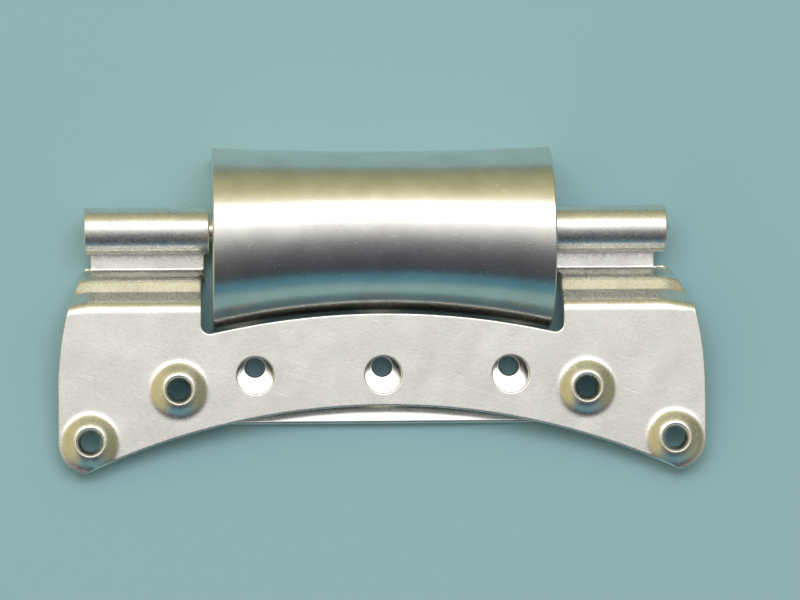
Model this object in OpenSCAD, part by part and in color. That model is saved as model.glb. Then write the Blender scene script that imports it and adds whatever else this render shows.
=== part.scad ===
// Door hinge of a front-loading washing machine: two leaves pressed from zinc-plated steel sheet and one pin.
// X runs along the pin, Y up the hinge and Z out of the cabinet. The origin is on the back face of the
// cabinet leaf, at the middle one of its three screw holes.

/* [Sheet] */
// Thickness of the sheet that both leaves are pressed from
sheet_t = 2.5; // [2:0.1:2.8]
// Radius on the inner side of a sharp bend
bend_r = 0.8; // [0.4:0.1:1.2]

/* [Pin] */
// Diameter of the hinge pin
pin_d = 5; // [4:0.1:5.5]
// Height of the pin axis over the back face of the cabinet leaf
pin_height = 6.8; // [6.7:0.1:8]
// Distance from the row of cabinet screws up to the pin axis
pin_offset = 29; // [27:0.1:32]
// Radial clearance of the pin in the ears that it turns in
ear_clearance = 0.06; // [0.03:0.01:0.1]
// Radial clearance of the pin in the rolled knuckles that hold it
knuckle_clearance = 0.08; // [0.03:0.01:0.1]
// How far each end of the pin stays inside its knuckle
pin_recess = 0.6; // [0:0.1:2]
// Chamfer on the ends of the pin
pin_chamfer = 0.5; // [0.2:0.1:1]

/* [Hood] */
// Width of the hood and of the cabinet leaf
hood_w = 72.3; // [66:0.1:80]
// Radius of the hood at its ends
hood_end_r = 19.6; // [19:0.1:20]
// Radius of the hood at its waist
hood_waist_r = 17.2; // [16:0.1:18]
// How far the hood's centre lies below the pin axis at its ends
hood_end_drop = 1.9; // [1.5:0.1:2]
// How far the hood's centre lies below the pin axis at its waist
hood_waist_drop = 0.4; // [0:0.1:1]
// Radius of the fold between the hood and the flat of the cabinet leaf
hood_fold_r = 2; // [1.5:0.1:2.5]

/* [Cabinet leaf] */
// Distance from the row of screw holes down to the leaf's lower edge
cabinet_edge = 12.2; // [8:0.1:14]
// Radius of the leaf's lower corners
cabinet_corner_r = 4; // [1:0.5:8]
// Distance between neighbouring screw holes
cabinet_pitch = 27.2; // [20:0.1:29]
// Diameter of the screw holes
cabinet_hole_d = 4.1; // [3:0.1:5]

/* [Door leaf] */
// Half the width of the leaf at its lower lobes
door_half_w = 69; // [66:0.1:74]
// Height of the leaf's front face over the pin axis
door_face = 7; // [6.5:0.1:7.5]
// Distance from the pin axis to the start of the sloped step
step_start = 7.6; // [6.8:0.1:8]
// Slope of the step between the knuckles and the flat of the leaf
step_angle = 48; // [44:1:56]
// Half the distance between the outer ends of the knuckles
knuckle_out = 62.5; // [55:0.1:64]
// Angle past the front at which the rolled sheet of a knuckle ends
curl_end = 112; // [60:1:115]
// Gap between a knuckle and the end of the hood
knuckle_gap = 0.95; // [0.5:0.05:1.2]
// Gap between the hood's end and the wall of the notch beside it
notch_gap = 2.35; // [1.5:0.05:3]
// Radius of the notch's lower corners
notch_corner_r = 1.7; // [0.8:0.1:2.2]
// Distance from the pin axis to the upper end of the notch's wall
notch_top = 10.3; // [9.5:0.1:11]
// Distance from the pin axis to the crown of the notch's curved edge
notch_crown = 17.95; // [17.9:0.05:19]
// Radius of the notch's curved edge
notch_edge_r = 165.8; // [150:0.2:190]
// Distance from the pin axis to the crown of the leaf's lower edge
lower_crown = 37.7; // [36:0.1:39]
// Radius of the leaf's lower edge, which follows the door ring
lower_edge_r = 149.8; // [140:0.2:160]
// Radius of the side edges above the lobes
side_r = 70; // [60:1:90]
// Distance from the pin axis to the upper end of the straight side edges
side_start = 34; // [32:0.5:36]
// Distance from the pin axis to the place where the side edges turn inwards
side_turn = 17; // [16:0.1:18]

/* [Door screws] */
// Half the distance between the outer screw holes
outer_hole_x = 62.2; // [60:0.1:64]
// Distance from the pin axis to the outer screw holes
outer_hole_y = 44.9; // [43:0.1:47]
// Half the distance between the inner screw holes
inner_hole_x = 43.4; // [41:0.1:46]
// Distance from the pin axis to the inner screw holes
inner_hole_y = 34; // [32:0.1:35]
// Core diameter of the threads in the bosses
thread_d = 4.1; // [3.2:0.1:5]
// Diameter of the raised boss at its foot
boss_d = 12.2; // [11.5:0.1:13]
// Diameter of the raised boss at its top
boss_top_d = 7.8; // [7:0.1:9]
// Height of the raised boss
boss_h = 1.8; // [1:0.1:2.4]
// Diameter of the chamfered mouth on top of the boss
mouth_d = 5.6; // [5:0.1:6.4]
// Diameter of the funnel that leads into the thread from the back
inlet_d = 7.4; // [5.4:0.1:8.4]
// Diameter of the holes that clear the heads of the cabinet screws
access_d = 7.8; // [6:0.1:9]
// Distance from the pin axis to the row of those holes
access_y = 31.1; // [29:0.1:32]

/* [Pose] */
// How far past parallel the door leaf is folded towards the cabinet leaf at rest
rest_fold = 10.5; // [6:0.5:10.5]

/* [Hidden] */
$fn = 96;
margin = 1;
boss_root = 0.3;
bend_steps = 6;
side_steps = 24;
lobe_steps = 16;
hood_half = hood_w / 2;
knuckle_in = hood_half + knuckle_gap;
notch_half = hood_half + notch_gap;
notch_round = notch_half - knuckle_in;
knuckle_bore_r = pin_d / 2 + knuckle_clearance;
knuckle_r = knuckle_bore_r + sheet_t;
ear_bore_r = pin_d / 2 + ear_clearance;
plate_front = sheet_t - pin_height;
plate_back = -pin_height;
plate_edge = -pin_offset - cabinet_edge;
fold_level = plate_front + hood_fold_r;
hood_stations = 14;
hood_arc_steps = 26;
fold_steps = 4;
lobe_r = door_half_w - outer_hole_x;
step_depth = door_face + knuckle_bore_r;
step_end = step_start + step_depth / tan(step_angle);
outer_bend_r = bend_r + sheet_t;
bend_run = outer_bend_r * tan(step_angle / 2);
foot_run = bend_r * tan(step_angle / 2);
notch_centre = -notch_crown - notch_edge_r;
lower_centre = -lower_crown - lower_edge_r;
plan_reach = 2 * knuckle_r;

// The hood's radius and the drop of its centre change from waist to end as the square of the distance
function waist(x) = pow(x / hood_half, 2);
function hood_r(x) = hood_waist_r + (hood_end_r - hood_waist_r) * waist(x);
function hood_y(x) = -hood_waist_drop - (hood_end_drop - hood_waist_drop) * waist(x);
function arc(y, z, r, from, to, steps) =
    [for (i = [0:steps]) let (a = from + (to - from) * i / steps) [y + r * cos(a), z + r * sin(a)]];

// Section of the pressed leaf across the pin, outside and inside, as closed loops of [y, z] about the pin
function leaf_section(x) = let (low = hood_y(x) - hood_r(x), top = hood_y(x) + hood_r(x)) concat(
    [[plate_edge, plate_back], [plate_edge, plate_front]],
    arc(low - hood_fold_r, fold_level, hood_fold_r, -90, 0, fold_steps),
    arc(hood_y(x), 0, hood_r(x), 180, 0, hood_arc_steps),
    [[top, plate_back]]);
function cavity_section(x) =
    let (r = hood_r(x) - sheet_t, low = hood_y(x) - r, fold_y = low - sheet_t - hood_fold_r) concat(
    [[fold_y, plate_back - margin]],
    arc(fold_y, fold_level, hood_fold_r + sheet_t, -90, 0, fold_steps),
    arc(hood_y(x), 0, r, 180, 0, hood_arc_steps),
    [[hood_y(x) + r, plate_back - margin]]);

// A solid through one section at each station, closed by a flat fan at both ends. The fan starts at the
// section's last point, from which the whole section is in view.
module loft(xs, sections) {
    n = len(sections[0]);
    last = len(xs) - 1;
    polyhedron(
        points = [for (i = [0:last]) for (p = sections[i]) [xs[i], p[0], p[1]]],
        faces = concat(
            [[for (j = [n - 1:-1:0]) j]],
            [for (i = [0:last - 1]) for (j = [0:n - 1]) [i * n + j, (i + 1) * n + (j + 1) % n, (i + 1) * n + j]],
            [for (i = [0:last - 1]) for (j = [0:n - 1]) [i * n + j, i * n + (j + 1) % n, (i + 1) * n + (j + 1) % n]],
            [[for (j = [-1:n - 2]) last * n + (j + n) % n]]));
}

module hood_loft(half, cavity) {
    xs = [for (i = [0:hood_stations]) half * (2 * i / hood_stations - 1)];
    loft(xs, [for (x = xs) cavity ? cavity_section(x) : leaf_section(x)]);
}

module along_pin(r, from, to) {
    translate([from, 0, 0]) rotate([0, 90, 0]) cylinder(r = r, h = to - from);
}

// What is cut away outside a rounded lower corner of the cabinet leaf
module corner_waste() {
    translate([hood_half - cabinet_corner_r, plate_edge + cabinet_corner_r, plate_back - margin])
        linear_extrude(sheet_t + 2 * margin) difference() {
            translate([0, -cabinet_corner_r - margin]) square(cabinet_corner_r + margin);
            circle(cabinet_corner_r);
        }
}

module cabinet_leaf() {
    color("gainsboro") translate([0, pin_offset, pin_height]) difference() {
        hood_loft(hood_half, false);
        hood_loft(hood_half - sheet_t, true);
        for (side = [0, 1]) mirror([side, 0, 0]) corner_waste();
        for (i = [-1:1]) translate([i * cabinet_pitch, -pin_offset, plate_back - margin])
            cylinder(d = cabinet_hole_d, h = sheet_t + 2 * margin);
        along_pin(ear_bore_r, -hood_half - margin, hood_half + margin);
    }
}

// Section of the door leaf behind and below the pin as a closed loop of [y, z]: run, step and flat
function door_loop() = let (foot = [foot_run - step_start, bend_r - knuckle_bore_r],
    top = [-step_end - bend_run, door_face - outer_bend_r], far = -outer_hole_y - lobe_r - margin) concat(
    [[0, -knuckle_bore_r]],
    arc(foot[0], foot[1], bend_r, 270, 270 - step_angle, bend_steps),
    arc(top[0], top[1], outer_bend_r, 90 - step_angle, 90, bend_steps),
    [[far, door_face], [far, door_face - sheet_t]],
    arc(top[0], top[1], bend_r, 90, 90 - step_angle, bend_steps),
    arc(foot[0], foot[1], outer_bend_r, 270 - step_angle, 270, bend_steps),
    [[0, -knuckle_r]]);

// The whole section, with the curl over the pin, which stays open below the front
module door_section() {
    polygon(door_loop());
    difference() {
        circle(knuckle_r);
        circle(knuckle_bore_r);
        polygon([[0, 0], for (a = [90 + curl_end, 180 + curl_end / 2, 270]) 2 * knuckle_r * [cos(a), sin(a)]]);
    }
}

// Right half of the blank seen from the front, from the top down to the lobe
function half_plan() = concat(
    [[knuckle_out, plan_reach], [knuckle_out, -step_start]],
    arc(door_half_w - side_r, -side_start, side_r, asin((side_start - side_turn) / side_r), 0, side_steps),
    arc(outer_hole_x, -outer_hole_y, lobe_r, 0, -90, lobe_steps));

// Right half of the notch that the hood stands in: narrow at the top, wider below, with a curved lower edge
function half_notch() = let (corner_x = notch_half - notch_corner_r,
    corner_y = notch_centre + sqrt(pow(notch_edge_r + notch_corner_r, 2) - pow(corner_x, 2)),
    lean = asin(corner_x / (notch_edge_r + notch_corner_r))) concat(
    [[knuckle_in, plan_reach + margin]],
    arc(knuckle_in, -notch_top - notch_round, notch_round, 90, 0, bend_steps),
    arc(corner_x, corner_y, notch_corner_r, 0, -90 - lean, lobe_steps),
    arc(0, notch_centre, notch_edge_r, 90 - lean, 90, side_steps));

module both_sides(half) {
    polygon(concat(half, [for (i = [len(half) - 1:-1:0]) [-half[i][0], half[i][1]]]));
}

module door_plan() {
    difference() {
        both_sides(half_plan());
        both_sides(half_notch());
        translate([0, lower_centre]) circle(lower_edge_r, $fn = 720);
    }
}

module at_door_holes() {
    for (side = [-1, 1]) {
        translate([side * outer_hole_x, -outer_hole_y, door_face]) children();
        translate([side * inner_hole_x, -inner_hole_y, door_face]) children();
    }
}

module door_leaf() {
    color("lightgray") translate([0, pin_offset, pin_height]) rotate([rest_fold, 0, 0]) difference() {
        union() {
            intersection() {
                translate([-door_half_w - margin, 0, 0]) rotate([90, 0, 90])
                    linear_extrude(2 * (door_half_w + margin)) door_section();
                translate([0, 0, -knuckle_r - margin]) linear_extrude(door_face + knuckle_r + 2 * margin) door_plan();
            }
            at_door_holes() translate([0, 0, -boss_root])
                cylinder(d1 = boss_d + boss_root * (boss_d - boss_top_d) / boss_h, d2 = boss_top_d, h = boss_h + boss_root);
        }
        at_door_holes() {
            translate([0, 0, -sheet_t - margin]) cylinder(d = thread_d, h = sheet_t + boss_h + 2 * margin);
            translate([0, 0, -sheet_t - margin]) cylinder(r1 = inlet_d / 2 + margin, r2 = 0, h = inlet_d / 2 + margin);
            translate([0, 0, boss_h - mouth_d / 2]) cylinder(r1 = 0, r2 = mouth_d / 2 + margin, h = mouth_d / 2 + margin);
        }
        for (i = [-1:1]) translate([i * cabinet_pitch, -access_y, door_face - sheet_t - margin])
            cylinder(d = access_d, h = sheet_t + 2 * margin);
    }
}

module hinge_pin() {
    half = knuckle_out - pin_recess;
    color("silver") translate([0, pin_offset, pin_height]) {
        along_pin(pin_d / 2, pin_chamfer - half, half - pin_chamfer);
        for (side = [0, 1]) mirror([side, 0, 0]) translate([half - pin_chamfer, 0, 0]) rotate([0, 90, 0])
            cylinder(r1 = pin_d / 2, r2 = pin_d / 2 - pin_chamfer, h = pin_chamfer);
    }
}

cabinet_leaf();
door_leaf();
hinge_pin();
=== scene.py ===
import math

import bpy
import numpy as np
from mathutils.geometry import delaunay_2d_cdt
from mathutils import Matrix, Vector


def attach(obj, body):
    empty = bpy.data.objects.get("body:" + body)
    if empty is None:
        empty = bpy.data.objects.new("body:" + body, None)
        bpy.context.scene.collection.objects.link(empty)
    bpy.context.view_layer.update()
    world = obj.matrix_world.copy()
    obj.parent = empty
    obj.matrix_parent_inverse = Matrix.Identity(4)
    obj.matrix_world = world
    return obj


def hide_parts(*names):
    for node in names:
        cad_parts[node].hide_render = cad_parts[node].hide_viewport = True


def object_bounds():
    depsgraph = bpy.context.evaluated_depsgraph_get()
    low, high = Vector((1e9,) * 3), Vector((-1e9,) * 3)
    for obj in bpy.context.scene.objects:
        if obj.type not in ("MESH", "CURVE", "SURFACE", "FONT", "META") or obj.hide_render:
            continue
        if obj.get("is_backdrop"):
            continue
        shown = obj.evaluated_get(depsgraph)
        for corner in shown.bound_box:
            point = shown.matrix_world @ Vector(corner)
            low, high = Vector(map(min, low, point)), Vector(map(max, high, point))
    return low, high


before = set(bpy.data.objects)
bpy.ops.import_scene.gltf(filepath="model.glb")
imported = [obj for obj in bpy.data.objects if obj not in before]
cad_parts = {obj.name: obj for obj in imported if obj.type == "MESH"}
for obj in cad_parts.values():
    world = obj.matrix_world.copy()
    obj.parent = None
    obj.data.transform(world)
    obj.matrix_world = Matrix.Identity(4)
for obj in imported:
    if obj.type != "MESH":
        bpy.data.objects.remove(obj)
solid_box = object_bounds()
scene = bpy.context.scene
scene.view_settings.view_transform = "Standard"


# ---------------------------------------------------------------------------------------------------------
# Cabinet leaf: one zinc-plated sheet, flat with three screw holes below and drawn up into a waisted hood.
# The hood's end walls are formed with it and carry the pin. The leaf is screwed to the cabinet's front.

PIN_Y, PIN_Z = 29.0, 6.8          # the pin's axis over the middle cabinet screw, in millimetres
SHEET = 2.5
HOOD_HALF = 36.15
END_R, WAIST_R = 19.6, 17.2
END_DROP, WAIST_DROP = 1.9, 0.4
PLATE_FRONT, PLATE_BACK, PLATE_EDGE = -4.3, -6.8, -41.2
FOLD_R = 2.0
SCREW_PITCH, SCREW_R = 27.2, 2.05


def along(points, step):
    """Points every step or less along straight lines through the given corners, the last corner left out."""
    parts = []
    for a, b in zip(points[:-1], points[1:]):
        a, b = np.array(a, float), np.array(b, float)
        count = max(1, math.ceil(np.linalg.norm(b - a) / step))
        parts.append(a + (b - a) * (np.arange(count) / count)[:, None])
    return np.vstack(parts)


def arc(centre, radius, start, end, step, last=False):
    """Points on a circle between two angles in degrees, every step or less, with or without the last."""
    count = max(2, math.ceil(math.radians(abs(end - start)) * radius / step))
    a = np.radians(start + (end - start) * np.arange(count + last) / count)
    return np.array(centre) + radius * np.column_stack([np.cos(a), np.sin(a)])


def offset(loop, inset):
    """The loop moved to its left by inset, with mitred corners: into the sheet, as holes run clockwise."""
    ahead = np.roll(loop, -1, 0) - loop
    ahead /= np.linalg.norm(ahead, axis=1)[:, None]
    left = np.column_stack([-ahead[:, 1], ahead[:, 0]])
    before = np.roll(left, 1, 0)
    mitre = (left + before) / (1 + np.sum(left * before, axis=1))[:, None]
    return loop + mitre * inset


def inside(points, loops):
    """Whether each point has an odd number of loop edges to its right, so that it lies in the sheet."""
    odd = np.zeros(len(points), bool)
    for loop in loops:
        a, b = loop, np.roll(loop, -1, 0)
        above = (a[:, 1] > points[:, 1, None]) != (b[:, 1] > points[:, 1, None])
        rise = np.where(b[:, 1] == a[:, 1], 1, b[:, 1] - a[:, 1])
        cross = a[:, 0] + (points[:, 1, None] - a[:, 1]) * (b[:, 0] - a[:, 0]) / rise
        odd ^= np.sum(above & (points[:, 0, None] < cross), axis=1) % 2 == 1
    return odd


def clear_of(points, loops, room):
    """The points that lie in the sheet and at least room away from every loop."""
    points = points[inside(points, loops)]
    edge = np.vstack(loops)
    near = np.concatenate([
        np.min(np.linalg.norm(chunk[:, None] - edge, axis=2), axis=1)
        for chunk in np.array_split(points, max(1, len(points) // 500))])
    return points[near > room]


def sheared(radius, depth=SHEET, corners=4):
    """Profile of a sheared edge as rows of inset and depth: rounded at the front and at the back."""
    a = np.linspace(0, np.pi / 2, corners)
    front = np.column_stack([radius * (1 - np.sin(a)), radius * (1 - np.cos(a))])
    back = front[::-1] * [1, -1] + [0, depth]
    lip = [radius + 0.15, 0]
    return np.vstack([[lip], front, back, [[lip[0], depth]]])


def pressed(loops, profiles, inner, place, depth=SHEET):
    """A sheet as front and back skins over the same triangles, joined round each loop by its edge profile.
    place takes two sheet coordinates and the depth under the front, as arrays, and gives the points."""
    outline = [offset(loop, profile[0, 0]) for loop, profile in zip(loops, profiles)]
    inner = clear_of(inner, outline, 0.25)
    flat = np.vstack(outline + [inner])
    starts = np.cumsum([0] + [len(loop) for loop in loops])
    edges = [(int(s + i), int(s + (i + 1) % len(loop)))
             for s, loop in zip(starts, loops) for i in range(len(loop))]
    found = delaunay_2d_cdt(flat.tolist(), edges, [], 0, 1e-7)
    source = np.array([old[0] for old in found[3]])
    tris = source[np.array(found[2])]
    tris = tris[inside(flat[tris].mean(1), outline)]
    a, b, c = flat[tris[:, 0]], flat[tris[:, 1]], flat[tris[:, 2]]
    turn = (b[:, 0] - a[:, 0]) * (c[:, 1] - a[:, 1]) - (b[:, 1] - a[:, 1]) * (c[:, 0] - a[:, 0])
    tris[turn < 0] = tris[turn < 0][:, ::-1]
    back = np.vstack([offset(loop, profile[-1, 0]) for loop, profile in zip(loops, profiles)] + [inner])
    points = [place(flat[:, 0], flat[:, 1], np.zeros(len(flat))),
              place(back[:, 0], back[:, 1], np.full(len(back), depth))]
    faces = [tris, tris[:, ::-1] + len(flat)]
    count = 2 * len(flat)
    quads = []
    for s, loop, profile in zip(starts, loops, profiles):
        n = len(loop)
        i = np.arange(n)
        rows = [s + i]
        for inset, d in profile[1:-1]:
            ring = offset(loop, inset)
            points.append(place(ring[:, 0], ring[:, 1], np.full(n, d)))
            rows.append(count + i)
            count += n
        rows.append(len(flat) + s + i)
        for up, down in zip(rows[:-1], rows[1:]):
            quads.append(np.column_stack([up, down, np.roll(down, -1), np.roll(up, -1)]))
    return np.vstack(points), [*faces, *quads]


def piece(name, parts, material, body, node=None):
    """One object from parts of points in millimetres and blocks of faces, on its body, with the CAD part it
    stands for hidden.
    """
    points, faces, start = [], [], 0
    for part_points, blocks in parts:
        points.append(part_points)
        for block in blocks:
            faces += (block + start).tolist()
        start += len(part_points)
    mesh = bpy.data.meshes.new(name)
    mesh.from_pydata((np.vstack(points) / 1000).tolist(), [], faces)
    mesh.validate()
    mesh.shade_smooth()
    mesh.materials.append(material)
    made = bpy.data.objects.new(name, mesh)
    scene.collection.objects.link(made)
    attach(made, body)
    if node:
        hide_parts(node)
    return made


def hood_section(x, s, d):
    """The leaf's section at x, s along it and d under its front: flat, fold, wall, hood and rear wall."""
    waist = (x / HOOD_HALF) ** 2
    radius = WAIST_R + (END_R - WAIST_R) * waist
    centre = -WAIST_DROP - (END_DROP - WAIST_DROP) * waist
    low = centre - radius
    flat, fold, wall, hood = 19.6, 22.75, 25.05, 82.85
    y = np.where(s < 15.2, PLATE_EDGE + s, -26 + (s - 15.2) / (flat - 15.2) * (low - FOLD_R + 26))
    z = PLATE_FRONT - d
    bend = np.radians(-90 + 90 * (s - flat) / (fold - flat))
    y = np.where(s > flat, low - FOLD_R + (FOLD_R + d) * np.cos(bend), y)
    z = np.where(s > flat, PLATE_FRONT + FOLD_R + (FOLD_R + d) * np.sin(bend), z)
    y = np.where(s > fold, low + d, y)
    z = np.where(s > fold, (PLATE_FRONT + FOLD_R) * (wall - s) / (wall - fold), z)
    turn = np.radians(180 - 180 * (s - wall) / (hood - wall))
    ripple = 0.010 * np.sin(x * 0.55 + 3.1 * turn) + 0.008 * np.sin(x * 0.23 - 7 * turn + 1)
    reach = radius - d + ripple * np.sin(turn)
    y = np.where(s > wall, centre + reach * np.cos(turn), y)
    z = np.where(s > wall, reach * np.sin(turn), z)
    y = np.where(s > hood, centre + radius - d, y)
    z = np.where(s > hood, -(s - hood), z)
    return np.column_stack([x, PIN_Y + y, PIN_Z + z])


def hood_end(side):
    """Place in an end wall of the hood: first coordinate backwards or forwards along Y, second along Z."""
    def place(a, b, d):
        return np.column_stack([side * (HOOD_HALF - 0.015 - d * 0.99), PIN_Y + side * a, PIN_Z + b])
    return place


def node(tree, kind, inputs=None, **settings):
    """A shader node with its settings, and its inputs set to values or linked from other nodes' outputs."""
    made = tree.nodes.new(kind)
    for name, value in settings.items():
        setattr(made, name, value)
    for name, value in (inputs or {}).items():
        if isinstance(value, bpy.types.NodeSocket):
            tree.links.new(value, made.inputs[name])
        else:
            made.inputs[name].default_value = value
    return made


def ramp(tree, fac, stops):
    """A colour ramp over fac through stops of position and grey level or colour."""
    made = node(tree, "ShaderNodeValToRGB", {"Fac": fac})
    band = made.color_ramp
    while len(band.elements) < len(stops):
        band.elements.new(0.5)
    for element, (position, tone) in zip(band.elements, stops):
        element.position = position
        element.color = (*tone, 1) if isinstance(tone, tuple) else (tone, tone, tone, 1)
    return made.outputs["Color"]


def grain(tree, turn, stretch, low, high):
    """Noise stretched by three scales a metre after a turn in degrees, cut to the range low to high."""
    place = node(tree, "ShaderNodeTexCoord").outputs["Object"]
    turned = node(tree, "ShaderNodeMapping", {
        "Vector": place, "Rotation": tuple(map(math.radians, turn))}, vector_type="POINT")
    scaled = node(tree, "ShaderNodeMapping", {"Vector": turned.outputs["Vector"], "Scale": stretch})
    noise = node(tree, "ShaderNodeTexNoise", {
        "Vector": scaled.outputs["Vector"], "Scale": 1.0, "Detail": 3.0, "Roughness": 0.55})
    return ramp(tree, noise.outputs["Fac"], [(low, 0.0), (high, 1.0)])


def zinc(name, light, dark, smooth, rough, lines, mottle):
    """Zinc plate: clouded colour, roughness between two values, scratches along lines, and a fine grain."""
    made = bpy.data.materials.new(name)
    made.use_nodes = True
    tree = made.node_tree
    shader = tree.nodes["Principled BSDF"]
    shader.inputs["Metallic"].default_value = 1.0
    clouds = grain(tree, (0, 0, 0), (150, 150, 150), 0.3, 0.7)
    colour = node(tree, "ShaderNodeMix", {"Factor": clouds}, data_type="RGBA")
    colour.inputs["A"].default_value = (*dark, 1)
    colour.inputs["B"].default_value = (*light, 1)
    tree.links.new(colour.outputs["Result"], shader.inputs["Base Color"])
    speckle = grain(tree, (0, 0, 0), (mottle, mottle, mottle), 0.35, 0.65)
    cuts = None
    for turn, stretch, low, high in lines:
        cut = grain(tree, turn, stretch, low, high)
        if cuts is not None:
            cut = node(tree, "ShaderNodeMix", {"Factor": 1.0, "A": cuts, "B": cut},
                       data_type="RGBA", blend_type="LIGHTEN").outputs["Result"]
        cuts = cut
    dull = node(tree, "ShaderNodeMapRange", {"Value": speckle, "To Min": smooth, "To Max": rough})
    worn = node(tree, "ShaderNodeMath", {
        0: cuts, 1: 0.12, 2: dull.outputs["Result"]}, operation="MULTIPLY_ADD")
    tree.links.new(worn.outputs[0], shader.inputs["Roughness"])
    fine = node(tree, "ShaderNodeBump", {"Height": speckle, "Strength": 0.25, "Distance": 0.00002})
    deep = node(tree, "ShaderNodeBump", {
        "Height": cuts, "Normal": fine.outputs["Normal"], "Strength": 0.35, "Distance": 0.00003}, invert=True)
    tree.links.new(deep.outputs["Normal"], shader.inputs["Normal"])
    return made


hood_zinc = zinc(
    "hood_zinc", (0.84, 0.83, 0.79), (0.72, 0.71, 0.67), 0.17, 0.27,
    [((0, 0, 4), (160, 6000, 6000), 0.70, 0.78), ((0, 0, 28), (200, 5200, 5200), 0.71, 0.78),
     ((0, 0, -58), (200, 5200, 5200), 0.71, 0.78)], 3200)

leaf_loop = np.vstack([
    along([(-HOOD_HALF + 4, 0), (HOOD_HALF - 4, 0)], 0.9), arc((HOOD_HALF - 4, 4), 4, -90, 0, 0.7),
    along([(HOOD_HALF, 4), (HOOD_HALF, 89.65)], 0.7), along([(HOOD_HALF, 89.65), (-HOOD_HALF, 89.65)], 0.9),
    along([(-HOOD_HALF, 89.65), (-HOOD_HALF, 4)], 0.7), arc((-HOOD_HALF + 4, 4), 4, 180, 270, 0.7)])
leaf_holes = [arc((i * SCREW_PITCH, 12.2), SCREW_R, 0, -360, 0.4) for i in (-1, 0, 1)]
columns = np.arange(-39, 40) * 0.93
rows = np.concatenate([np.arange(1, 19.4, 1.4), np.linspace(19.6, 22.75, 9), [23.6, 24.4],
                       np.arange(25.05, 82.9, 0.6), [84.5, 86.5, 88.5]])
grid = np.array(np.meshgrid(columns, rows)).reshape(2, -1).T
leaf_part = pressed([leaf_loop] + leaf_holes, [sheared(0.45)] + [sheared(0.3)] * 3, grid, hood_section)

rim = np.linspace(20.5, 89.4, 90)
bent = hood_section(np.full(90, HOOD_HALF), rim, np.full(90, 1.6))[::-1, 1:] - [PIN_Y, PIN_Z]
foot = PLATE_BACK + 0.05
wall = np.vstack([along([(-23.3, foot), (bent[0, 0], foot), bent[0]], 1.0), bent])
pin_hole = arc((0, 0), 2.56, 0, -360, 0.35)
spots = np.array(np.meshgrid(np.arange(-24, 24, 1.5), np.arange(-7, 20, 1.5))).reshape(2, -1).T
end_parts = [pressed([outline, pin_hole], [sheared(0.1), sheared(0.15)], spots, hood_end(side))
             for side, outline in ((1, wall), (-1, wall[::-1] * [-1, 1]))]
piece("cabinet_leaf_plated", [leaf_part] + end_parts, hood_zinc, "cabinet", "cabinet_leaf")


# ---------------------------------------------------------------------------------------------------------
# Door leaf: one zinc-plated sheet, blanked as an arch, stepped back and rolled at both ends round the pin.
# Four bosses are pressed up and tapped for the door ring's screws; three holes clear the cabinet's screws.

FACE = 7.0                        # front of the flat over the pin's axis
BORE_R = 2.58
CURL_R = BORE_R + SHEET / 2
TOP_V = -17.65                    # where the flat ends and the step begins
NOTCH_HALF = 38.5
REST_FOLD = math.radians(10.5)
BOSSES = np.array([[-62.2, -44.9], [-43.4, -34.0], [43.4, -34.0], [62.2, -44.9]])
BOSS_H = 1.8

# The strip from the flat to the end of the curl: each bend's turn in degrees and its radius at the middle
# of the sheet, and the straight length that follows it. Two lengths are left open and worked out below.
BENDS = [(-52, 2.05, 3.0), (26, 1.85, 2.1), (-42, 1.25, 0.0), (68, 2.05, 0.0), (292, CURL_R, 0.0)]


def run(bends):
    """Table along the strip: length, height below the pin, depth and heading, summed up from its bends."""
    knots, headings = [0.0], [0.0]
    for turn, radius, straight in bends:
        knots += [knots[-1] + abs(math.radians(turn)) * radius]
        headings += [headings[-1] + math.radians(turn)]
        knots += [knots[-1] + straight]
        headings += [headings[-1]]
    table = np.arange(0, knots[-1] + 0.005, 0.005)
    heading = np.interp(table, knots, headings)
    v = TOP_V + np.cumsum(np.cos(heading)) * 0.005
    w = FACE - SHEET / 2 + np.cumsum(np.sin(heading)) * 0.005
    return np.array(knots), table, v, w, heading


fall = run(BENDS[:4])[3][-1] + BORE_R + SHEET / 2
BENDS[2] = (-42, 1.25, fall / math.sin(math.radians(68)))
BENDS[3] = (68, 2.05, -run(BENDS[:4])[2][-1])
marks, table_s, table_v, table_w, table_heading = run(BENDS)
FOOT_S, CURL_S, END_S = marks[6], marks[8], marks[9]


def strip(s):
    """Middle of the sheet at s along the strip and its unit normal; the flat is where s is negative."""
    s = np.asarray(s, float)
    heading = np.interp(s, table_s, table_heading)
    v = np.interp(s, table_s, table_v) + np.minimum(s, 0)
    return v, np.interp(s, table_s, table_w), -np.sin(heading), np.cos(heading)


def on_door(u, v, w):
    """Points of the flat door leaf's own frame about the pin, folded as far as at rest."""
    c, s = math.cos(REST_FOLD), math.sin(REST_FOLD)
    return np.column_stack([u, PIN_Y + v * c - w * s, PIN_Z + v * s + w * c])


def swell(u, v, foot, top, height):
    """Height of the pressed bosses: level inside top, a half cosine out to foot, and nothing beyond."""
    r = np.min(np.hypot(u - BOSSES[:, 0, None], v - BOSSES[:, 1, None]), axis=0)
    return height * 0.5 * (1 + np.cos(np.pi * np.clip((r - top) / (foot - top), 0, 1)))


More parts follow.
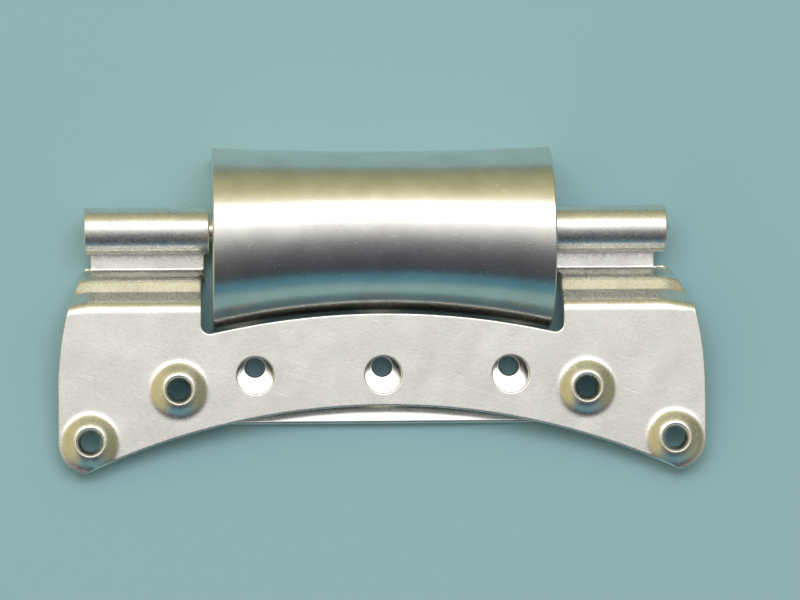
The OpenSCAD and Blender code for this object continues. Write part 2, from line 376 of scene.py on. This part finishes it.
def door_sheet(u, s, d):
    """The door leaf: the strip's middle line, the depth laid off along its normal, and the bosses' rise.
    A faint wave runs over the sheet, and past its necks the step droops a little towards each side."""
    v, w, nv, nw = strip(s)
    lift = SHEET / 2 - d
    rise = np.where(s < 0, (1 - d / SHEET) * swell(u, v, 6.5, 2.9, BOSS_H)
                    + d / SHEET * swell(u, v, 5.6, 2.2, BOSS_H * 0.75), 0)
    wave = 0.012 * np.sin(u * 0.31 + 0.7) * np.sin(v * 0.37) + 0.008 * np.sin(u * 0.83 - v * 0.5)
    wing = np.clip(np.abs(u + 1.1) - 61.4, 0, None)
    droop = 0.28 * (np.sqrt(wing ** 2 + 0.3) - 0.55) * np.clip(s / 3, 0, 1) * np.clip((CURL_S - s) / 4, 0, 1)
    wave = wave - np.where(wing > 0, droop, 0)
    return on_door(u, v + nv * (lift + wave), w + nw * (lift + wave) + rise)


def s_of(v):
    """Distance along the strip at a height v below the pin, from the strip's own table."""
    v = np.asarray(v, float)
    back = table_s <= CURL_S
    return np.where(v < TOP_V, v - TOP_V, np.interp(v, table_v[back], table_s[back]))


def hole(centre, radius, step):
    """A clockwise circle in sheet coordinates round a point of the flat."""
    return arc((centre[0], float(s_of(centre[1]))), radius, 0, -360, step)


LOBE_R = 6.8
lobe = arc(BOSSES[3], LOBE_R, -81, 0, 0.6)
LOWER_DROP, LOWER_R = 187.5, 149.8    # centre below the pin and radius of the arched lower edge
UPPER_DROP, UPPER_R = 183.75, 165.8   # and of the edge that runs round the hood
CORNER_R = 1.7
lower = arc((0, -LOWER_DROP), LOWER_R, 90, 0, 0.8)
lower = lower[lower[:, 0] < lobe[0, 0] - 0.3]
corner = NOTCH_HALF - CORNER_R
corner_v = -UPPER_DROP + math.sqrt((UPPER_R + CORNER_R) ** 2 - corner ** 2)
lean = math.degrees(math.asin(corner / (UPPER_R + CORNER_R)))


def half_outline(top_u, power, neck_out, knuckle_out, knuckle_in, neck_in):
    """Half of the blank in sheet coordinates, from the middle of its lower edge round to the notch's middle.
    The side edge rises to top_u as a power of the height, and the strip is narrower behind its knuckle."""
    t = np.linspace(1, 0, 17)
    flank = np.column_stack([top_u + (66.87 - top_u) * t ** power, -7.6 - 9.4 * t])
    side = np.vstack([
        lower, lobe, along([(69, -44.9), (69, -34)], 0.8),
        arc((-1, -34), 70, 0, math.degrees(math.asin(17 / 70)), 0.8), flank])
    knuckle = along([
        (neck_out, FOOT_S + 2.2), (neck_out, CURL_S - 0.9), (knuckle_out - 0.3, CURL_S + 0.6),
        (knuckle_out, CURL_S + 2.0), (knuckle_out, END_S), (knuckle_in, END_S), (knuckle_in, CURL_S + 1.6),
        (neck_in, CURL_S - 0.6), (neck_in, float(s_of(-10.3)))], 0.55)
    notch = np.vstack([
        arc((neck_in, -10.3 - NOTCH_HALF + neck_in), NOTCH_HALF - neck_in, 90, 0, 0.3),
        along([(NOTCH_HALF, -10.3 - NOTCH_HALF + neck_in), (NOTCH_HALF, corner_v)], 0.5),
        arc((corner, corner_v), CORNER_R, 0, -90 - lean, 0.4),
        arc((0, -UPPER_DROP), UPPER_R, 90 - lean, 90, 0.8, last=True)])
    return np.vstack([np.column_stack([side[:, 0], s_of(side[:, 1])]), knuckle,
                      np.column_stack([notch[:, 0], s_of(notch[:, 1])])])


right = half_outline(61.0, 0.65, 59.3, 61.3, 37.0, 37.9)
left = half_outline(63.3, 0.95, 62.2, 63.4, 36.75, 37.8)
door_loop = np.vstack([right, left[-2:0:-1] * [-1, 1]])
access = [hole((i * SCREW_PITCH, -31.1), 3.9, 0.5) for i in (-1, 0, 1)]
tapped = [hole(boss, 2.05, 0.27) for boss in BOSSES]
depths = np.linspace(0.75, 1.75, 13)
thread = np.vstack([
    [[1.25, 0], [1.05, 0.0], [0.95, 0.03], [0.85, 0.1]],
    np.column_stack([0.15 + 0.2 * np.cos(depths * 4 * np.pi), depths]),
    [[0.0, 1.8], [0.8, 2.3], [0.95, 2.45], [1.1, SHEET], [1.25, SHEET]]])

knuckle_rows = np.concatenate([
    [-0.6, -0.3], np.arange(0, marks[1], 0.2), np.arange(marks[1], marks[2], 0.6),
    np.arange(marks[2], marks[3], 0.2), np.arange(marks[3], marks[4], 0.5),
    np.arange(marks[4], marks[5], 0.18),
    np.arange(marks[5], marks[6], 0.5), np.arange(marks[6], marks[7], 0.22), np.arange(marks[7], CURL_S, 0.5),
    np.arange(CURL_S, END_S, 0.3)])
knuckle_columns = np.arange(-63, 64) * 1.07
bent_grid = np.array(np.meshgrid(knuckle_columns, knuckle_rows)).reshape(2, -1).T
hexes = np.array(np.meshgrid(np.arange(-40, 41) * 1.75, np.arange(-24, 0) * 1.5 - 0.9)).reshape(2, -1).T
hexes[:, 0] += 0.44 * (np.round((hexes[:, 1] + 0.9) / 1.5) % 2)
bosses_in_sheet = np.column_stack([BOSSES[:, 0], s_of(BOSSES[:, 1])])
apart = np.min(np.linalg.norm(hexes[:, None] - bosses_in_sheet, axis=2), axis=1)
hexes = hexes[apart > 8.6]
rings = np.vstack([centre + r * np.column_stack([np.cos(a), np.sin(a)])
                   for centre in bosses_in_sheet for r in np.arange(3.55, 8.2, 0.36)
                   for a in [np.arange(48) / 48 * 2 * np.pi + r]])

door_zinc = zinc(
    "door_zinc", (0.87, 0.86, 0.82), (0.76, 0.75, 0.71), 0.24, 0.38,
    [((0, 0, 18), (90, 4200, 900), 0.66, 0.74), ((0, 0, -35), (110, 4200, 900), 0.68, 0.75),
     ((0, 0, 84), (110, 4200, 900), 0.68, 0.75)], 1700)
door_part = pressed(
    [door_loop] + access + tapped, [sheared(0.35)] + [sheared(0.3)] * 3 + [thread] * 4,
    np.vstack([bent_grid, hexes, rings]), door_sheet)
piece("door_leaf_plated", [door_part], door_zinc, "door", "door_leaf")


# ---------------------------------------------------------------------------------------------------------
# Pin: drawn bright steel, chamfered at both ends. The knuckles hold it and the hood's end walls turn on it.

PIN_R, PIN_HALF = 2.5, 61.9
CHAMFER = np.array([[0, 0], [0, 1.98], [0.02, 2.0], [0.5, 2.49], [0.56, PIN_R]])   # depth, radius
AROUND = 64


def turned(x, radius):
    """A turned bar: the radius at each place along the pin's axis, swept about it as a ring of points."""
    turn = np.arange(AROUND) / AROUND * 2 * np.pi
    return np.column_stack([
        np.repeat(x, AROUND), PIN_Y + np.outer(radius, np.cos(turn)).ravel(),
        PIN_Z + np.outer(radius, np.sin(turn)).ravel()])


x = np.concatenate([CHAMFER[:, 0] - PIN_HALF, np.linspace(-60, 60, 41), PIN_HALF - CHAMFER[::-1, 0]])
points = turned(x, np.concatenate([CHAMFER[:, 1], np.full(41, PIN_R), CHAMFER[::-1, 1]]))
i, j = np.meshgrid(np.arange(len(x) - 1), np.arange(AROUND), indexing="ij")
here, beside = (i * AROUND + j).ravel(), (i * AROUND + (j + 1) % AROUND).ravel()
pin_zinc = zinc(
    "pin_bright", (0.80, 0.79, 0.75), (0.66, 0.65, 0.62), 0.14, 0.24,
    [((0, 0, 0), (60, 5200, 5200), 0.66, 0.72)], 2600)
piece("hinge_pin_drawn", [(points, [np.column_stack([here, beside, beside + AROUND, here + AROUND])])],
      pin_zinc, "door", "hinge_pin")


# ---------------------------------------------------------------------------------------------------------
# Stage: a plain pale blue-grey table top under the hinge, a soft light behind it, and the camera.

FLOOR_Z = -0.00005
floor_mesh = bpy.data.meshes.new("table_top")
floor_mesh.from_pydata(
    [(x, y, FLOOR_Z) for x, y in ((-3, -3), (3, -3), (3, 3), (-3, 3))], [], [(0, 1, 2, 3)])
floor = bpy.data.objects.new("table_top", floor_mesh)
scene.collection.objects.link(floor)
floor_paint = bpy.data.materials.new("table_top")
floor_paint.use_nodes = True
floor_paint.node_tree.nodes["Principled BSDF"].inputs["Base Color"].default_value = (0.36, 0.60, 0.70, 1)
floor_paint.node_tree.nodes["Principled BSDF"].inputs["Roughness"].default_value = 0.9
floor_mesh.materials.append(floor_paint)
floor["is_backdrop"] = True

world = bpy.data.worlds.new("studio")
world.use_nodes = True
scene.world = world
sky = world.node_tree
way = node(sky, "ShaderNodeSeparateXYZ", {"Vector": node(sky, "ShaderNodeTexCoord").outputs["Generated"]})
lean_back = node(sky, "ShaderNodeMath", {0: way.outputs["Y"], 1: way.outputs["Z"]}, operation="ARCTAN2")
share = node(sky, "ShaderNodeMapRange", {
    "Value": lean_back.outputs[0], "From Min": -math.pi / 2, "From Max": math.pi / 2})


def at(angle):
    """Place on the sky's ramp of an angle in degrees from straight up towards +Y."""
    return (angle + 90) / 180


sky_tone = ramp(sky, share.outputs["Result"], [
    (at(-90), (0.08, 0.24, 0.32)), (at(-77), (0.08, 0.24, 0.32)), (at(-70), (0.045, 0.045, 0.055)),
    (at(-45), (0.10, 0.10, 0.12)), (at(-26), (0.24, 0.24, 0.26)), (at(-13), (0.66, 0.66, 0.66)),
    (at(-3), (1.05, 1.05, 1.03)), (at(8), (1.3, 1.3, 1.28)), (at(27), (1.3, 1.3, 1.24)),
    (at(36), (0.92, 0.84, 0.52)), (at(52), (0.52, 0.49, 0.28)), (at(84), (0.27, 0.28, 0.17)),
    (at(90), (0.14, 0.27, 0.30))])
gold = node(sky, "ShaderNodeMapRange", {
    "Value": way.outputs["X"], "From Min": -0.35, "From Max": -0.75}, clamp=True)
olive = node(sky, "ShaderNodeMapRange", {
    "Value": way.outputs["X"], "From Min": 0.35, "From Max": 0.75}, clamp=True)
left_side = node(sky, "ShaderNodeMix", {"Factor": gold.outputs["Result"], "A": sky_tone}, data_type="RGBA")
left_side.inputs["B"].default_value = (0.62, 0.53, 0.27, 1)
both_sides = node(sky, "ShaderNodeMix", {
    "Factor": olive.outputs["Result"], "A": left_side.outputs["Result"]}, data_type="RGBA")
both_sides.inputs["B"].default_value = (0.26, 0.25, 0.14, 1)
sky_tone = both_sides.outputs["Result"]
camera_ray = node(sky, "ShaderNodeLightPath").outputs["Is Camera Ray"]
seen = node(sky, "ShaderNodeMix", {"Factor": camera_ray, "A": sky_tone}, data_type="RGBA")
seen.inputs["B"].default_value = (0.8, 0.86, 0.88, 1)
sky.links.new(seen.outputs["Result"], sky.nodes["Background"].inputs["Color"])

lamp = bpy.data.lights.new("softbox", "AREA")
lamp.shape = "RECTANGLE"
lamp.size, lamp.size_y = 1.3, 0.45
lamp.energy = 3.0
softbox = bpy.data.objects.new("softbox", lamp)
softbox.location = (-0.05, 0.36, 1.1)
softbox.rotation_euler = (math.radians(-17), 0, 0)
scene.collection.objects.link(softbox)

eye = bpy.data.cameras.new("camera")
eye.lens = 178.32
eye.sensor_width = 36
eye.clip_end = 20
camera = bpy.data.objects.new("camera", eye)
camera.location = (-0.045114, -0.158138, 0.834715)
camera.rotation_euler = tuple(map(math.radians, (11.7595, -3.1712, -1.0420)))
scene.collection.objects.link(camera)
scene.camera = camera

[[list(map(float, corner)) for corner in box] for box in (solid_box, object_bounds())]
